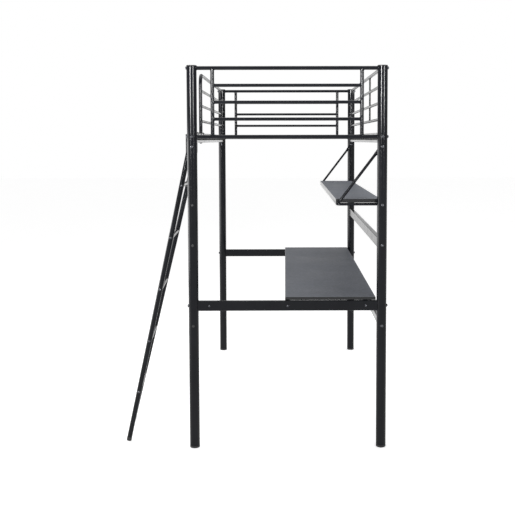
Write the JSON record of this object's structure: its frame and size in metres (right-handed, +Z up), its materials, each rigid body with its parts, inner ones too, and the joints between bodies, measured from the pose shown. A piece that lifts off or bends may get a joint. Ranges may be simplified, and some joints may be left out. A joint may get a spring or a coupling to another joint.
{
  "type": "loft bed with desk",
  "caption": "Tubular steel loft bed on tall round posts, with guard rails, tube slats, a desk board and a shelf along its back, and a leaning ladder hooked over its front rail.",
  "frame": {"origin": "on the floor, under the middle of the bounding box of the whole object with its ladder", "axes": "+X from the ladder side to the desk side, +Y along the bed away from the ladder's end, +Z up"},
  "size_m": [1.3698, 2.0926, 1.916],
  "materials": {
    "post": "near-black powder coat, semi-gloss, fine orange peel",
    "rail": "near-black powder coat, semi-gloss",
    "bar": "near-black powder coat, semi-gloss",
    "slat": "near-black powder coat, semi-gloss",
    "ladder": "near-black powder coat, worn a little on the rungs",
    "cap": "moulded black plastic",
    "bolt": "black button head with a hexagon socket",
    "desk": "laminated board, blue-grey pebbled top, black edge",
    "shelf": "laminated board, blue-grey pebbled top, black edge"
  },
  "bodies": {
    "frame": {"back_rail_low": "bar", "back_rail_middle": "bar", "cross_bar_far": "bar", "cross_bar_near": "bar", "cross_bolt_far_left": "bolt", "cross_bolt_far_right": "bolt", "cross_bolt_near_left": "bolt", "cross_bolt_near_right": "bolt", "desk_bar_back": "bar", "desk_bar_front": "bar", "desk_top": "desk", "end_frame_far": "rail", "end_frame_near": "rail", "foot_cap_far_left": "cap", "foot_cap_far_right": "cap", "foot_cap_near_left": "cap", "foot_cap_near_right": "cap", "guard_back": "rail", "guard_front": "rail", "post_far_left": "post", "post_far_right": "post", "post_near_left": "post", "post_near_right": "post", "rail_bolt_far_left": "bolt", "rail_bolt_far_right": "bolt", "rail_bolt_near_left": "bolt", "rail_bolt_near_right": "bolt", "shelf_board": "shelf", "shelf_frame": "rail", "shelf_strut_far": "rail", "shelf_strut_near": "rail", "side_rail_back": "bar", "side_rail_front": "bar", "slat_01": "slat", "slat_02": "slat", "slat_03": "slat", "slat_04": "slat", "slat_05": "slat", "slat_06": "slat", "slat_07": "slat", "slat_08": "slat", "slat_09": "slat", "slat_10": "slat", "slat_11": "slat", "slat_12": "slat", "slat_13": "slat", "top_cap_far_left": "cap", "top_cap_far_right": "cap", "top_cap_near_left": "cap", "top_cap_near_right": "cap"},
    "ladder": {"ladder_foot_far": "cap", "ladder_foot_near": "cap", "ladder_rail_far": "ladder", "ladder_rail_near": "ladder", "rung_1": "ladder", "rung_2": "ladder", "rung_3": "ladder", "rung_4": "ladder", "rung_5": "ladder"}
  },
  "joints": [
    {"name": "ladder_swing", "type": "hinge", "parent": "frame", "child": "ladder", "pos_m": [-0.2739, 0, 1.585], "axis": [0, 1, 0], "range_deg": [0, 12]}
  ]
}
